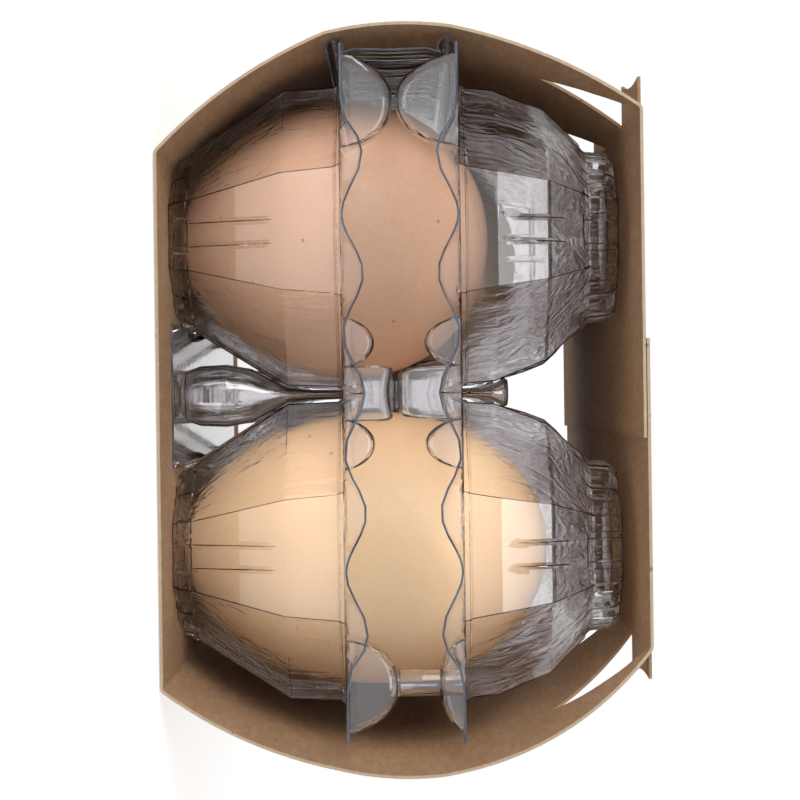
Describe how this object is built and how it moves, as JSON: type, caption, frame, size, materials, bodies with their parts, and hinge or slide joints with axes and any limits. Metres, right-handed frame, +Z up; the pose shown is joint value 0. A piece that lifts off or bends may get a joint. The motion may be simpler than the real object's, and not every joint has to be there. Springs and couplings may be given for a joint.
{
  "type": "egg carton",
  "caption": "Clear formed egg tray and hinged lid with eggs standing in faceted cells, inside a bowed kraft board sleeve with die-cut corner notches.",
  "frame": {"origin": "on the underside of the sleeve's base panel, midway along its length, on the centre line between the sleeve's two bowed sides", "axes": "+Z up, +Y along the carton's length, -X the hinge side, +X the latch side"},
  "size_m": [0.1095, 0.15, 0.0714],
  "materials": {
    "kraft_board": "matte",
    "glue": "satin",
    "clear_sheet": "gloss",
    "egg_shell_pink": "satin",
    "egg_shell_tan": "satin",
    "egg_shell_brown": "satin"
  },
  "bodies": {
    "sleeve_lower": {"sleeve_base": "kraft_board", "sleeve_hinge_side_lower": "kraft_board", "sleeve_latch_side_lower": "kraft_board"},
    "sleeve_fold": {"sleeve_spine": "kraft_board"},
    "sleeve_upper": {"sleeve_hinge_side_upper": "kraft_board", "sleeve_latch_side_upper": "kraft_board", "sleeve_flap_inner": "kraft_board", "sleeve_flap_outer": "kraft_board", "sleeve_glue": "glue"},
    "tray": {"tray_rim": "clear_sheet", "tray_cell_1": "clear_sheet", "tray_cell_2": "clear_sheet", "tray_cell_3": "clear_sheet", "tray_cell_4": "clear_sheet", "tray_cell_5": "clear_sheet", "tray_cell_6": "clear_sheet"},
    "spine": {"hinge_spine": "clear_sheet"},
    "lid": {"lid_rim": "clear_sheet", "lid_cell_1": "clear_sheet", "lid_cell_2": "clear_sheet", "lid_cell_3": "clear_sheet", "lid_cell_4": "clear_sheet", "lid_cell_5": "clear_sheet", "lid_cell_6": "clear_sheet", "latch_studs": "clear_sheet"},
    "egg_1": {"egg_1": "egg_shell_pink"},
    "egg_2": {"egg_2": "egg_shell_tan"},
    "egg_3": {"egg_3": "egg_shell_pink"},
    "egg_4": {"egg_4": "egg_shell_tan"},
    "egg_5": {"egg_5": "egg_shell_brown"},
    "egg_6": {"egg_6": "egg_shell_tan"}
  },
  "joints": [
    {"name": "tray_slide", "type": "slide", "parent": "sleeve_lower", "child": "tray", "axis": [0, -1, 0], "range_m": [0, 0.16]},
    {"name": "spine_hinge", "type": "hinge", "parent": "tray", "child": "spine", "pos_m": [-0.0534, 0, 0.0248], "axis": [0, -1, 0], "range_deg": [0, 90]},
    {"name": "lid_hinge", "type": "hinge", "parent": "spine", "child": "lid", "pos_m": [-0.0542, 0, 0.0431], "axis": [0, -1, 0], "range_deg": [0, 69]},
    {"name": "sleeve_fold_hinge", "type": "hinge", "parent": "sleeve_lower", "child": "sleeve_fold", "pos_m": [-0.0534, 0, 0.0248], "axis": [0, -1, 0], "range_deg": [0, 90]},
    {"name": "sleeve_top_hinge", "type": "hinge", "parent": "sleeve_fold", "child": "sleeve_upper", "pos_m": [-0.0542, 0, 0.0431], "axis": [0, -1, 0], "range_deg": [0, 69]},
    {"name": "egg_1_lift", "type": "slide", "parent": "tray", "child": "egg_1", "axis": [0, 0, 1], "range_m": [0, 0.016]},
    {"name": "egg_2_lift", "type": "slide", "parent": "tray", "child": "egg_2", "axis": [0, 0, 1], "range_m": [0, 0.009]},
    {"name": "egg_3_lift", "type": "slide", "parent": "tray", "child": "egg_3", "axis": [0, 0, 1], "range_m": [0, 0.008]},
    {"name": "egg_4_lift", "type": "slide", "parent": "tray", "child": "egg_4", "axis": [0, 0, 1], "range_m": [0, 0.009]},
    {"name": "egg_5_lift", "type": "slide", "parent": "tray", "child": "egg_5", "axis": [0, 0, 1], "range_m": [0, 0.009]},
    {"name": "egg_6_lift", "type": "slide", "parent": "tray", "child": "egg_6", "axis": [0, 0, 1], "range_m": [0, 0.01]}
  ],
  "couplings": [
    {"joint": "sleeve_fold_hinge", "follows": "spine_hinge", "ratio": 1},
    {"joint": "sleeve_top_hinge", "follows": "lid_hinge", "ratio": 1}
  ]
}
